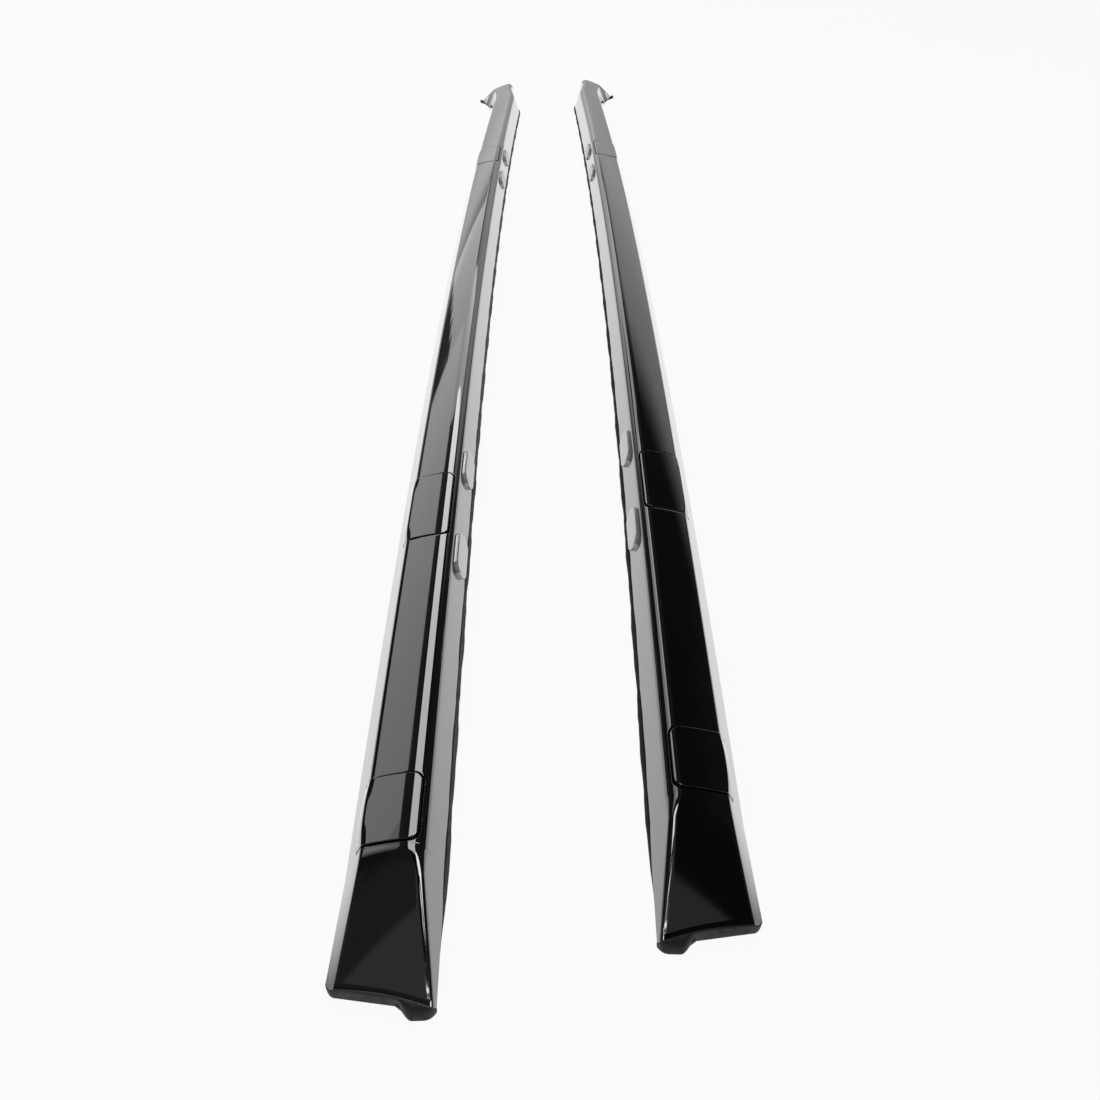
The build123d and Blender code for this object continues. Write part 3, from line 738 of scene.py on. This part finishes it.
def toe_form(side):
    """The small upturned edge of the gasket along the flared foot of the tail."""
    rows = []
    for share in np.linspace(TOE_START, 1, TOE_ROWS):
        foot = OUTER + TAIL_FOOT_FLARE * share ** 2
        grown = (share - TOE_START) / (1 - TOE_START)
        end = foot + TOE_LIFT + (TOE_REACH - TOE_LIFT) * grown
        top = GASKET_THICKNESS + (TOE_HEIGHT - GASKET_THICKNESS) * grown
        edge = min(TOE_EDGE, (end - foot) / 3)
        points = np.array([(foot - TIP_ROUND, TOE_LIFT), (foot - TIP_ROUND, GASKET_THICKNESS - TOE_LIFT),
                           (foot, GASKET_THICKNESS - TOE_LIFT), (foot, top - edge), (foot + edge, top),
                           (end - edge, top), (end, top - edge), (end, TOE_LIFT)])
        at = TAIL_START + (TAIL_CREASE - TAIL_START) * share
        rows.append(skewed(points, at, -TAIL_SKEW * share))
    u, z, s = (np.array(values) for values in zip(*rows))
    return shells_between(place(u, z, s, side), place(u, np.full_like(z, TOE_LIFT), s, side))


def pad_form(side, centre):
    """A raised oblong pad on the inner face with a round edge and a faint dome."""
    angles = np.linspace(0, 2 * pi, PAD_POINTS, endpoint=False)
    ends = np.sign(np.round(np.cos(angles), 9)) * (PAD_LENGTH - PAD_HEIGHT) / 2
    foot = INNER + (PAD_CENTRE_HEIGHT - BASE) * tan(INNER_LEAN)
    half = PAD_HEIGHT / 2
    rings = [(half, -PAD_SUNK), (0.0, -PAD_SUNK), (0.0, PAD_PROUD - PAD_EDGE)]
    for angle in np.linspace(0, pi / 2, PAD_EDGE_RINGS)[1:]:
        rings.append((PAD_EDGE * (1 - np.cos(angle)), PAD_PROUD - PAD_EDGE * (1 - np.sin(angle))))
    for inset in np.linspace(PAD_EDGE, half, PAD_DOME_RINGS)[1:]:
        rise = PAD_DOME * (1 - ((half - inset) / (half - PAD_EDGE)) ** 2)
        rings.append((inset, PAD_PROUD + rise))
    rows = []
    for inset, height in rings:
        along = (half - inset) * np.cos(angles) + ends
        across = (half - inset) * np.sin(angles)
        u = foot + across * np.sin(INNER_LEAN) - height * np.cos(INNER_LEAN)
        z = PAD_CENTRE_HEIGHT + across * np.cos(INNER_LEAN) + height * np.sin(INNER_LEAN)
        ring = place(u, z, centre + along, side)
        rows.append(np.concatenate([ring, ring[:1]]))
    rows = np.array(rows)
    return weld(rows.reshape(-1, 3), grid_faces(*rows.shape[:2]))


class Finish:
    """A principled material whose inputs are driven by noise in the object's own metres."""

    def __init__(self, name, colour, metallic=0.0):
        self.material = bpy.data.materials.new(name)
        self.material.use_nodes = True
        self.tree = self.material.node_tree
        self.shader = self.tree.nodes["Principled BSDF"]
        self.shader.inputs["Base Color"].default_value = (*colour, 1.0)
        self.shader.inputs["Metallic"].default_value = metallic
        self.coordinates = self.tree.nodes.new("ShaderNodeTexCoord").outputs["Object"]

    def noise(self, scale, detail=2.0, stretch=(1.0, 1.0, 1.0)):
        """A noise value in the object's own space, stretched along its axes."""
        mapping = self.tree.nodes.new("ShaderNodeMapping")
        mapping.inputs["Scale"].default_value = stretch
        texture = self.tree.nodes.new("ShaderNodeTexNoise")
        texture.inputs["Scale"].default_value = scale
        texture.inputs["Detail"].default_value = detail
        self.tree.links.new(self.coordinates, mapping.inputs["Vector"])
        self.tree.links.new(mapping.outputs["Vector"], texture.inputs["Vector"])
        return texture.outputs["Fac"]

    def spread(self, value, low, high, from_low=0.3, from_high=0.7):
        """Maps a noise value to a range."""
        node = self.tree.nodes.new("ShaderNodeMapRange")
        node.inputs["From Min"].default_value = from_low
        node.inputs["From Max"].default_value = from_high
        node.inputs["To Min"].default_value = low
        node.inputs["To Max"].default_value = high
        self.tree.links.new(value, node.inputs["Value"])
        return node.outputs["Result"]

    def roughness(self, value, low, high):
        """Varies the roughness between two values."""
        self.tree.links.new(self.spread(value, low, high), self.shader.inputs["Roughness"])

    def colour(self, value, low, high, from_low=0.3, from_high=0.7):
        """Varies the colour between two values."""
        mix = self.tree.nodes.new("ShaderNodeMix")
        mix.data_type = "RGBA"
        mix.inputs["A"].default_value = (*low, 1.0)
        mix.inputs["B"].default_value = (*high, 1.0)
        self.tree.links.new(self.spread(value, 0.0, 1.0, from_low, from_high), mix.inputs["Factor"])
        self.tree.links.new(mix.outputs["Result"], self.shader.inputs["Base Color"])

    def bump(self, *layers):
        """Adds bump layers, each a noise value and its height in metres."""
        normal = None
        for value, height in layers:
            node = self.tree.nodes.new("ShaderNodeBump")
            node.inputs["Distance"].default_value = height
            self.tree.links.new(value, node.inputs["Height"])
            if normal is not None:
                self.tree.links.new(normal, node.inputs["Normal"])
            normal = node.outputs["Normal"]
        self.tree.links.new(normal, self.shader.inputs["Normal"])


def gloss_black(name, wave_height):
    """Black gloss finish: slow waves, fine orange peel and a trace of dust."""
    black = (0.002, 0.002, 0.0022)
    dust = (0.01, 0.01, 0.01)
    peel_height = 1.2e-6
    finish = Finish(name, black)
    specks = finish.noise(scale=900.0, detail=1.0)
    finish.colour(specks, black, dust, from_low=0.68, from_high=0.78)
    finish.roughness(finish.noise(scale=35.0), low=0.035, high=0.075)
    waves = finish.noise(scale=9.0, detail=1.0)
    orange_peel = finish.noise(scale=320.0, detail=1.0)
    finish.bump((waves, wave_height), (orange_peel, peel_height))
    finish.shader.inputs["Coat Weight"].default_value = 1.0
    finish.shader.inputs["Coat Roughness"].default_value = 0.03
    finish.shader.inputs["Coat IOR"].default_value = 1.6
    return finish.material


def rubber(name):
    """Matt black rubber with a fine grain and paler rubbed patches."""
    dark = (0.007, 0.007, 0.007)
    rubbed = (0.016, 0.016, 0.016)
    grain_height = 4e-5
    finish = Finish(name, dark)
    finish.colour(finish.noise(scale=60.0, detail=4.0), dark, rubbed)
    finish.roughness(finish.noise(scale=200.0), low=0.5, high=0.7)
    finish.shader.inputs["Specular IOR Level"].default_value = 0.35
    finish.bump((finish.noise(scale=1800.0, detail=3.0), grain_height))
    return finish.material


def satin_metal(name, low, high, rough_low, rough_high, stretch=(1.0, 1.0, 1.0), metallic=1.0,
                grain_height=1.5e-5):
    """Satin metal with a fine grain."""
    finish = Finish(name, high, metallic)
    grain = finish.noise(scale=1500.0, detail=3.0, stretch=stretch)
    finish.colour(finish.noise(scale=120.0, detail=3.0), low, high)
    finish.roughness(grain, rough_low, rough_high)
    finish.bump((grain, grain_height))
    return finish.material


def dress_hidden_nodes():
    """Gives the metal pieces inside the rails their finishes."""
    zinc = satin_metal("zinc_plated_steel", (0.42, 0.42, 0.44), (0.6, 0.6, 0.6), 0.3, 0.5)
    spring = satin_metal("spring_steel", (0.3, 0.3, 0.32), (0.44, 0.44, 0.45), 0.25, 0.4, (1.0, 0.1, 1.0))
    plain = satin_metal("plain_aluminium", (0.6, 0.6, 0.6), (0.75, 0.75, 0.75), 0.3, 0.45)
    finishes = {"foot_plate": zinc, "end_cap_screws": zinc, "cover_clips": spring, "pad_inserts": plain}
    for name, node in frame["nodes"].items():
        for ending, material in finishes.items():
            if name.endswith(ending):
                node.data.materials.clear()
                node.data.materials.append(material)


def build_rails():
    """Every visible piece of both rails."""
    paint = gloss_black("rail_gloss_paint", 3.0e-5)
    plastic = gloss_black("cap_gloss_plastic", 4.5e-5)
    cover_plastic = gloss_black("cover_gloss_plastic", 3.5e-5)
    gasket_rubber = rubber("gasket_rubber")
    satin = satin_metal("pad_satin", (0.62, 0.62, 0.61), (0.66, 0.66, 0.65), 0.24, 0.28, metallic=0.6,
                        grain_height=5e-7)
    for name, side in SIDES.items():
        flipped = side > 0
        rail = thicken(*oriented(rail_skin(side), flipped), RAIL_WALL, WINDOW_EDGE)
        add_piece(name + "_rail_skin", rail, False, paint, name + "_rail_profile")
        for cover, (start, length) in COVERS.items():
            sheet = oriented(cover_skin(side, start, length), flipped)
            stem = name + "_" + cover + "_cover"
            add_piece(stem + "_skin", thicken(*sheet, COVER_WALL, COVER_EDGE), False, cover_plastic,
                      stem)
        add_piece(name + "_front_cap_skin", front_cap(side), not flipped, plastic,
                  name + "_front_end_cap")
        add_piece(name + "_rear_cap_skin", rear_cap(side), flipped, plastic,
                  name + "_rear_end_cap")
        add_piece(name + "_gasket_skin", gasket_form(side), flipped, gasket_rubber,
                  name + "_base_gasket")
        add_piece(name + "_gasket_toe", toe_form(side), flipped, gasket_rubber,
                  name + "_base_gasket")
        add_piece(name + "_gasket_lip", front_lip(side), not flipped, gasket_rubber,
                  name + "_base_gasket")
        for pair, centre in PAD_CENTRES.items():
            for end, way in (("front", -1), ("rear", 1)):
                stem = name + "_" + pair + "_" + end
                pad = pad_form(side, centre + way * PAD_SPACING / 2)
                add_piece(stem + "_pad_skin", pad, not flipped, satin, stem + "_crossbar_pad")


def piece_group(stem):
    """The pieces whose names start alike, but for the pads, as a group that a lamp can be kept to."""
    name = stem + "_lit"
    if name in bpy.data.collections:
        return bpy.data.collections[name]
    group = bpy.data.collections.new(name)
    for piece in bpy.context.scene.objects:
        if piece.name.startswith(stem) and piece.type == "MESH" and "pad_" not in piece.name:
            group.objects.link(piece)
    return group


def panel(name, across, along, radiance, stem=None, height=LAMP_HEIGHT):
    """A soft lamp that hangs level over the rails, given by its extent and the brightness of its face.

    With a stem it lights only the pieces whose names start so, and those mostly by reflection.
    """
    lamp = bpy.data.lights.new(name, "AREA")
    lamp.shape = "RECTANGLE"
    lamp.size = across[1] - across[0]
    lamp.size_y = along[1] - along[0]
    lamp.energy = radiance * pi * lamp.size * lamp.size_y
    light = bpy.data.objects.new(name, lamp)
    light.location = (sum(across) / 2, sum(along) / 2, height)
    light.rotation_euler.z = LAMP_TURNS.get(name, 0.0)
    light.visible_camera = False
    bpy.context.scene.collection.objects.link(light)
    if stem is not None:
        lamp.diffuse_factor = KEPT_LAMP_DIFFUSE
        light.light_linking.receiver_collection = piece_group(stem)
    return light


def brightness_ramp(tree, value, stops):
    """A grey that follows a value through stops of position and brightness."""
    ramp = tree.nodes.new("ShaderNodeValToRGB")
    ramp.color_ramp.interpolation = "EASE"
    while len(ramp.color_ramp.elements) < len(stops):
        ramp.color_ramp.elements.new(0.5)
    for element, (position, level) in zip(ramp.color_ramp.elements, stops):
        element.position = position
        element.color = (level, level, level, 1.0)
    tree.links.new(value, ramp.inputs["Fac"])
    return ramp.outputs["Color"]


def colour_mix(tree, share, first, second):
    """A colour that goes from the first to the second as the share rises."""
    mix = tree.nodes.new("ShaderNodeMix")
    mix.data_type = "RGBA"
    tree.links.new(share, mix.inputs["Factor"])
    tree.links.new(first, mix.inputs["A"])
    tree.links.new(second, mix.inputs["B"])
    return mix.outputs["Result"]


def smooth_step(tree, value, span):
    """A share that rises softly from 0 to 1 across a span of a value."""
    step = tree.nodes.new("ShaderNodeMapRange")
    step.interpolation_type = "SMOOTHSTEP"
    step.inputs["From Min"].default_value = span[0]
    step.inputs["From Max"].default_value = span[1]
    tree.links.new(value, step.inputs["Value"])
    return step.outputs["Result"]


def calculated(tree, operation, *values):
    """The result of a sum on sockets and plain numbers."""
    node = tree.nodes.new("ShaderNodeMath")
    node.operation = operation
    for socket, value in zip(node.inputs, values):
        if isinstance(value, float):
            socket.default_value = value
        else:
            tree.links.new(value, socket)
    return node.outputs["Value"]


def grey(tree, level):
    """A plain grey."""
    colour = tree.nodes.new("ShaderNodeRGB").outputs["Color"]
    colour.default_value = (level, level, level, 1.0)
    return colour


def studio_sky():
    """A sky that is bright at the horizon and dark overhead, and white where the camera sees it."""
    world = bpy.data.worlds.new("studio")
    bpy.context.scene.world = world
    world.use_nodes = True
    tree = world.node_tree
    background = tree.nodes["Background"]
    direction = tree.nodes.new("ShaderNodeTexCoord").outputs["Generated"]
    split = tree.nodes.new("ShaderNodeSeparateXYZ")
    tree.links.new(direction, split.inputs["Vector"])
    across, forward, height = (split.outputs[axis] for axis in "XYZ")
    sideways = calculated(tree, "ABSOLUTE", across)
    rightward = smooth_step(tree, across, SIDE_BLEND)
    ahead = colour_mix(tree, rightward, brightness_ramp(tree, height, SKY_LEFT),
                       brightness_ramp(tree, height, SKY_RIGHT))
    ahead = colour_mix(tree, smooth_step(tree, sideways, SIDE_FADE), ahead, grey(tree, SKY_DARK))
    arch = calculated(tree, "MULTIPLY_ADD", sideways, BEHIND_SPREAD, height)
    arch = calculated(tree, "MULTIPLY", arch, BEHIND_SCALE)
    behind = colour_mix(tree, rightward, brightness_ramp(tree, arch, SKY_LEFT_BEHIND),
                        brightness_ramp(tree, arch, SKY_RIGHT_BEHIND))
    sky = colour_mix(tree, smooth_step(tree, forward, AHEAD_BLEND), behind, ahead)
    path = tree.nodes.new("ShaderNodeLightPath")
    seen = colour_mix(tree, path.outputs["Is Camera Ray"], sky, grey(tree, 1.0))
    tree.links.new(seen, background.inputs["Color"])
    background.inputs["Strength"].default_value = 1.0


def studio_floor():
    """A white floor that shows almost plain white to the camera and in reflections."""
    mesh = bpy.data.meshes.new("floor")
    corners = [(x * FLOOR_REACH, y * FLOOR_REACH, 0) for x, y in ((-1, -1), (1, -1), (1, 1), (-1, 1))]
    mesh.from_pydata(corners, [], [(0, 1, 2, 3)])
    floor = bpy.data.objects.new("floor", mesh)
    bpy.context.scene.collection.objects.link(floor)
    material = bpy.data.materials.new("floor_white")
    material.use_nodes = True
    tree = material.node_tree
    shader = tree.nodes["Principled BSDF"]
    shader.inputs["Base Color"].default_value = (FLOOR_GREY, FLOOR_GREY, FLOOR_GREY, 1.0)
    shader.inputs["Roughness"].default_value = FLOOR_ROUGHNESS
    glow = tree.nodes.new("ShaderNodeEmission")
    path = tree.nodes.new("ShaderNodeLightPath")
    seen = calculated(tree, "MAXIMUM", path.outputs["Is Camera Ray"], path.outputs["Is Glossy Ray"])
    blend = tree.nodes.new("ShaderNodeMixShader")
    tree.links.new(calculated(tree, "MULTIPLY", seen, FLOOR_GLOW), blend.inputs["Fac"])
    tree.links.new(shader.outputs["BSDF"], blend.inputs[1])
    tree.links.new(glow.outputs["Emission"], blend.inputs[2])
    tree.links.new(blend.outputs["Shader"], tree.nodes["Material Output"].inputs["Surface"])
    mesh.materials.append(material)


def studio_lamps():
    """Softboxes on the left, lamps that are kept to some pieces each, and a fill."""
    for step, level in enumerate(SOFTBOX_DAWN):
        near = SOFTBOX_NEAR + step * SOFTBOX_STEP
        panel("left_dawn_" + str(step), SOFTBOX_ACROSS, (near, near + SOFTBOX_STEP), level)
    bright = SOFTBOX_NEAR + len(SOFTBOX_DAWN) * SOFTBOX_STEP
    panel("left_softbox", SOFTBOX_ACROSS, (bright, SOFTBOX_FAR), SOFTBOX_LEVEL)
    panel("left_mid_softbox", MID_SOFTBOX_ACROSS, (LEFT_BAND_FAR, SOFTBOX_FAR), MID_SOFTBOX_LEVEL)
    panel("left_band_fade", LEFT_BAND_ACROSS, (LEFT_BAND_FAR, BAND_FADE_FAR), BAND_FADE_LEVEL, "left_")
    edges = np.linspace(SOFTBOX_FAR, SOFTBOX_END, FAR_STEPS + 1)
    for step, outer in enumerate(np.linspace(*FAR_OUTER, FAR_STEPS)):
        panel("left_far_" + str(step), (outer, FAR_INNER), (edges[step], edges[step + 1]), FAR_LEVEL)
    for name, lamp in KEPT_LAMPS.items():
        panel(name, *lamp)
    fill = panel("fill", FILL_SPAN, FILL_SPAN, FILL_LEVEL, height=FILL_HEIGHT)
    fill.visible_glossy = False


def camera():
    """The photograph's viewpoint."""
    lens = bpy.data.cameras.new("camera")
    lens.sensor_width = SENSOR_WIDTH
    lens.lens = FOCAL_PIXELS / PHOTO_SIZE * SENSOR_WIDTH
    lens.clip_end = CAMERA_REACH
    viewer = bpy.data.objects.new("camera", lens)
    viewer.location = (CAMERA_X, cad_box[0][1] - CAMERA_BEFORE_NOSE, CAMERA_HEIGHT)
    viewer.rotation_euler = (pi / 2 - CAMERA_PITCH, 0.0, -CAMERA_YAW)
    bpy.context.scene.collection.objects.link(viewer)
    bpy.context.scene.camera = viewer


def frame_shift():
    """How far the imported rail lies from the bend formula, along Y and Z, in metres."""
    skin = section()
    probe = place(skin[:, 0], skin[:, 1], RAIL_START, SIDES["right"])
    low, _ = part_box("right_rail_profile")
    return np.array([low[1] - probe[:, 1].min(), low[2] - probe[:, 2].min()])


shift = frame_shift()
build_rails()
dress_hidden_nodes()
studio_sky()
studio_floor()
studio_lamps()
camera()
bpy.context.scene.view_settings.view_transform = "Standard"
